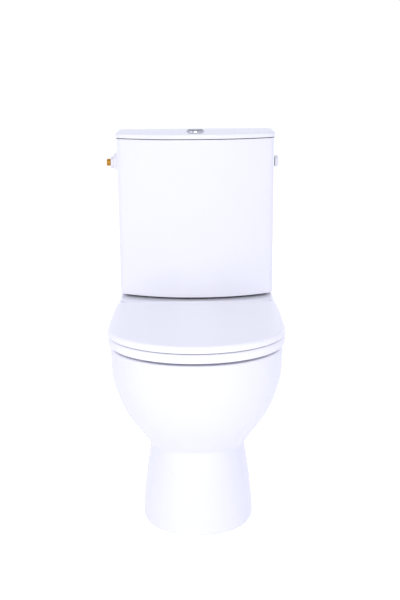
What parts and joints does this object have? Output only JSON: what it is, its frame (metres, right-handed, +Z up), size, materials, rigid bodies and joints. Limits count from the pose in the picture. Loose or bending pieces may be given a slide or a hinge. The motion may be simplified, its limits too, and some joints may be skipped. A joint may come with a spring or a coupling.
{
  "type": "close coupled toilet",
  "caption": "White close-coupled WC: china pan on a waisted foot, bow-front cistern with push button, hinged seat and cover.",
  "frame": {"origin": "on the floor plane, midway between the two floor-fixing holes in the pan's foot", "axes": "+X to the right seen from the front, +Y towards the wall, +Z up"},
  "size_m": [0.3916, 0.6345, 0.804],
  "materials": {
    "vitreous_china": "gloss",
    "duroplast_white": "gloss",
    "chromed_abs": "polished",
    "brass": "turned",
    "white_plastic": "satin",
    "grey_plastic": "satin",
    "black_rubber": "matt",
    "clear_buffer": "satin",
    "stainless": "brushed"
  },
  "bodies": {
    "pan_and_cistern": {"pan": "vitreous_china", "cistern_tank": "vitreous_china", "coupling_washer": "black_rubber", "flush_valve_backnut": "white_plastic", "cistern_seating_pad": "black_rubber", "coupling_bolts": "stainless", "coupling_bolt_seals": "black_rubber", "coupling_steel_washers": "stainless", "coupling_wing_nuts": "white_plastic", "flush_valve_base": "white_plastic", "flush_valve_gasket": "black_rubber", "flush_valve_tower": "white_plastic", "flush_valve_head": "grey_plastic", "inlet_shank": "brass", "inlet_washer": "black_rubber", "inlet_backnut": "white_plastic", "fill_valve_body": "white_plastic", "fill_tube": "grey_plastic", "blanking_plug": "white_plastic", "blanking_washer": "black_rubber", "blanking_nut": "white_plastic", "hinge_posts": "white_plastic", "hinge_pins": "stainless", "hinge_bolts": "white_plastic", "hinge_washers": "clear_buffer", "hinge_wing_nuts": "white_plastic"},
    "seat": {"seat_ring": "duroplast_white", "seat_buffers": "clear_buffer"},
    "cover": {"seat_cover": "duroplast_white", "cover_buffers": "clear_buffer"},
    "lid": {"cistern_lid": "vitreous_china", "button_bezel": "chromed_abs", "button_housing": "white_plastic", "button_lock_nut": "white_plastic"},
    "full_flush": {"full_flush_button": "chromed_abs", "full_flush_rod": "white_plastic"},
    "half_flush": {"half_flush_button": "chromed_abs", "half_flush_rod": "white_plastic"},
    "flush_lift": {"overflow_tube": "white_plastic", "flush_seal": "black_rubber"},
    "float": {"float_arm": "white_plastic", "float_cup": "grey_plastic"}
  },
  "joints": [
    {"name": "seat_hinge", "type": "hinge", "parent": "pan_and_cistern", "child": "seat", "pos_m": [0, -0.017, 0.4105], "axis": [-1, 0, 0], "range_deg": [0, 93]},
    {"name": "cover_hinge", "type": "hinge", "parent": "seat", "child": "cover", "pos_m": [0, -0.017, 0.4105], "axis": [1, 0, 0], "range_deg": [-93, 0]},
    {"name": "lid_lift", "type": "slide", "parent": "pan_and_cistern", "child": "lid", "axis": [0, 0, 1], "range_m": [0, 0.25]},
    {"name": "full_flush_press", "type": "slide", "parent": "lid", "child": "full_flush", "axis": [0, 0, -1], "range_m": [0, 0.007], "stiffness_N_per_m": 300, "springref_m": -0.004},
    {"name": "half_flush_press", "type": "slide", "parent": "lid", "child": "half_flush", "axis": [0, 0, -1], "range_m": [0, 0.007], "stiffness_N_per_m": 300, "springref_m": -0.004},
    {"name": "flush_valve_lift", "type": "slide", "parent": "pan_and_cistern", "child": "flush_lift", "axis": [0, 0, 1], "range_m": [0, 0.014]},
    {"name": "float_swing", "type": "hinge", "parent": "pan_and_cistern", "child": "float", "pos_m": [-0.138, 0.117, 0.752], "axis": [0, 1, 0], "range_deg": [-15, 0]}
  ],
  "couplings": [
    {"joint": "flush_valve_lift", "follows": "full_flush_press", "ratio": 2}
  ]
}
